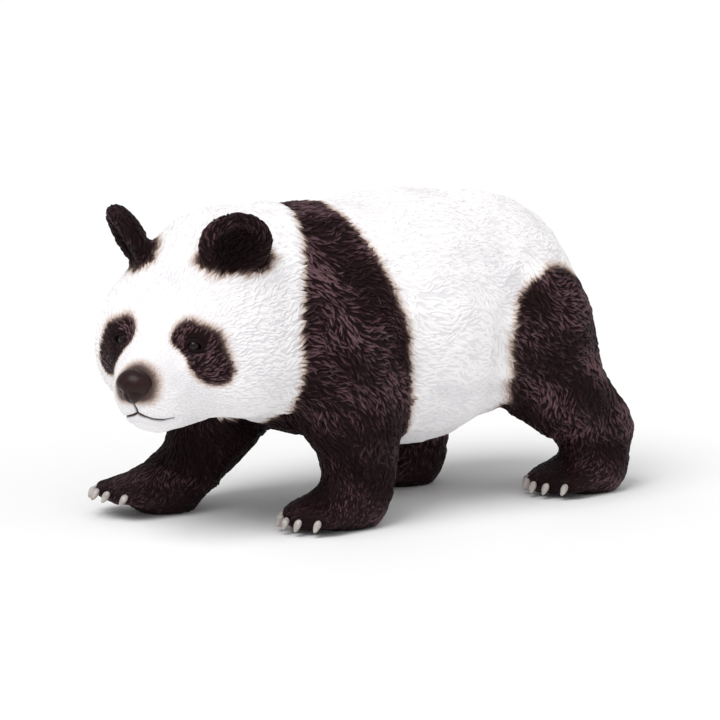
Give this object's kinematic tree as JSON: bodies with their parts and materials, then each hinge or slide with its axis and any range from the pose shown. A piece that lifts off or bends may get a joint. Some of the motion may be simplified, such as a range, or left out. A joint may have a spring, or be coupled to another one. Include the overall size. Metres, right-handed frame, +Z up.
{
  "type": "toy figure of a giant panda",
  "caption": "Small hand-painted vinyl figure of a giant panda walking on four feet, its head turned to its left, with moulded fur.",
  "frame": {"origin": "middle of the figure's box on the floor that the feet stand on", "axes": "+Z up, -Y the way the figure walks (its length runs along Y), +X its left side"},
  "size_m": [0.0404, 0.0946, 0.0505],
  "materials": {
    "white_coat": "moulded fur in off-white painted vinyl, satin, with a faint lilac-grey wash in the crevices",
    "dark_coat": "moulded fur in warm brown-black painted vinyl, satin, lighter grey dry-brushed on the crests and red-brown at its edges",
    "nose": "glossy brown-black paint",
    "eye": "glossy black paint",
    "claw": "light grey paint, satin"
  },
  "bodies": {
    "root": {"trunk": "white_coat", "neck": "dark_coat", "tail": "white_coat", "head": "white_coat", "nose": "nose", "ear_left": "dark_coat", "eye_left": "eye", "ear_right": "dark_coat", "eye_right": "eye", "leg_front_left": "dark_coat", "paw_front_left": "dark_coat", "claw_front_left_1": "claw", "claw_front_left_2": "claw", "claw_front_left_3": "claw", "claw_front_left_4": "claw", "claw_front_left_5": "claw", "leg_front_right": "dark_coat", "paw_front_right": "dark_coat", "claw_front_right_1": "claw", "claw_front_right_2": "claw", "claw_front_right_3": "claw", "claw_front_right_4": "claw", "claw_front_right_5": "claw", "leg_hind_left": "dark_coat", "paw_hind_left": "dark_coat", "claw_hind_left_1": "claw", "claw_hind_left_2": "claw", "claw_hind_left_3": "claw", "claw_hind_left_4": "claw", "claw_hind_left_5": "claw", "leg_hind_right": "dark_coat", "paw_hind_right": "dark_coat", "claw_hind_right_1": "claw", "claw_hind_right_2": "claw", "claw_hind_right_3": "claw", "claw_hind_right_4": "claw", "claw_hind_right_5": "claw"}
  },
  "joints": []
}
